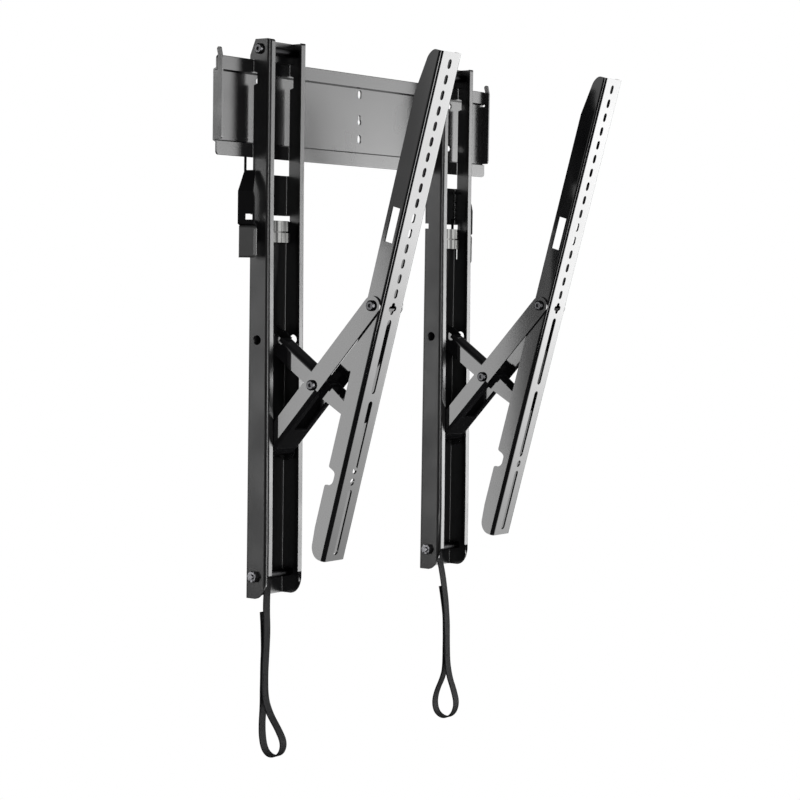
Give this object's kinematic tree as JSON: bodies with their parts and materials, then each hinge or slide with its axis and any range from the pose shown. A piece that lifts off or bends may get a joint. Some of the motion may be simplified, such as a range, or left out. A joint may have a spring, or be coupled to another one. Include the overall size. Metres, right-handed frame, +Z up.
{
  "type": "tilting wall bracket",
  "caption": "Wall bracket for a large upright screen: a folded wall plate, hanging channel uprights with strap-pulled latches, and crossed arms that carry tilting slotted rails.",
  "frame": {"origin": "middle of the wall plate's back face, on the wall", "axes": "+X along the wall to the right seen from the room, +Y into the wall, +Z up"},
  "size_m": [0.622, 0.2995, 0.9709],
  "materials": {
    "black_steel": "satin black coat",
    "dark_bolt": "dark plated",
    "zinc": "bright zinc",
    "nylon": "plain",
    "grip": "fine satin",
    "webbing": "woven"
  },
  "bodies": {
    "wall_plate": {"wall_plate": "black_steel"},
    "left_upright": {"left_upright": "black_steel", "left_pivot_ears": "black_steel", "left_top_bolt": "dark_bolt", "left_top_spacer": "dark_bolt", "left_bottom_bolt": "dark_bolt", "left_bottom_spacer": "dark_bolt", "left_spring_bar": "dark_bolt", "left_latch_springs": "dark_bolt", "left_short_pivot_pin": "dark_bolt"},
    "left_latch": {"left_latch_frame": "black_steel", "left_latch_grips": "grip", "left_strap_anchor": "zinc", "left_pull_strap": "webbing", "left_strap_tail": "webbing"},
    "left_short": {"left_short_arm": "black_steel", "left_rail_glide_pin": "dark_bolt", "left_rail_glide": "nylon"},
    "left_long": {"left_centre_bolt": "dark_bolt", "left_centre_bushes": "nylon", "left_long_arm": "black_steel", "left_track_pin": "dark_bolt", "left_track_glides": "nylon", "left_upper_bolt": "dark_bolt"},
    "left_rail": {"left_tv_rail": "black_steel"},
    "right_upright": {"right_upright": "black_steel", "right_pivot_ears": "black_steel", "right_top_bolt": "dark_bolt", "right_top_spacer": "dark_bolt", "right_bottom_bolt": "dark_bolt", "right_bottom_spacer": "dark_bolt", "right_spring_bar": "dark_bolt", "right_latch_springs": "dark_bolt", "right_short_pivot_pin": "dark_bolt"},
    "right_latch": {"right_latch_frame": "black_steel", "right_latch_grips": "grip", "right_strap_anchor": "zinc", "right_pull_strap": "webbing", "right_strap_tail": "webbing"},
    "right_short": {"right_short_arm": "black_steel", "right_rail_glide_pin": "dark_bolt", "right_rail_glide": "nylon"},
    "right_long": {"right_centre_bolt": "dark_bolt", "right_centre_bushes": "nylon", "right_long_arm": "black_steel", "right_track_pin": "dark_bolt", "right_track_glides": "nylon", "right_upper_bolt": "dark_bolt"},
    "right_rail": {"right_tv_rail": "black_steel"}
  },
  "joints": [
    {"name": "left_side_shift", "type": "slide", "parent": "wall_plate", "child": "left_upright", "axis": [1, 0, 0], "range_m": [-0.048, 0.048]},
    {"name": "left_latch_pull", "type": "slide", "parent": "left_upright", "child": "left_latch", "axis": [0, 0, -1], "range_m": [0, 0.014], "stiffness_N_per_m": 700, "springref_m": -0.012, "deforming": ["left_latch_springs"]},
    {"name": "left_short_swing", "type": "hinge", "parent": "left_upright", "child": "left_short", "pos_m": [-0.2, -0.02, -0.306], "axis": [1, 0, 0], "range_deg": [0, 39]},
    {"name": "left_long_swing", "type": "hinge", "parent": "left_short", "child": "left_long", "pos_m": [-0.2, -0.1017, -0.363], "axis": [1, 0, 0], "range_deg": [-66.8, 0]},
    {"name": "left_rail_tilt", "type": "hinge", "parent": "left_long", "child": "left_rail", "pos_m": [-0.2, -0.19776, -0.25706], "axis": [1, 0, 0], "range_deg": [0, 16]},
    {"name": "right_side_shift", "type": "slide", "parent": "wall_plate", "child": "right_upright", "axis": [1, 0, 0], "range_m": [-0.048, 0.048]},
    {"name": "right_latch_pull", "type": "slide", "parent": "right_upright", "child": "right_latch", "axis": [0, 0, -1], "range_m": [0, 0.014], "stiffness_N_per_m": 700, "springref_m": -0.012, "deforming": ["right_latch_springs"]},
    {"name": "right_short_swing", "type": "hinge", "parent": "right_upright", "child": "right_short", "pos_m": [0.2, -0.02, -0.306], "axis": [1, 0, 0], "range_deg": [0, 39]},
    {"name": "right_long_swing", "type": "hinge", "parent": "right_short", "child": "right_long", "pos_m": [0.2, -0.1017, -0.363], "axis": [1, 0, 0], "range_deg": [-66.8, 0]},
    {"name": "right_rail_tilt", "type": "hinge", "parent": "right_long", "child": "right_rail", "pos_m": [0.2, -0.19776, -0.25706], "axis": [1, 0, 0], "range_deg": [0, 16]}
  ],
  "couplings": [
    {"joint": "left_long_swing", "follows": "left_short_swing", "ratio": -1.7116},
    {"joint": "left_rail_tilt", "follows": "left_short_swing", "ratio": 0.41},
    {"joint": "right_long_swing", "follows": "right_short_swing", "ratio": -1.7116},
    {"joint": "right_rail_tilt", "follows": "right_short_swing", "ratio": 0.41}
  ]
}
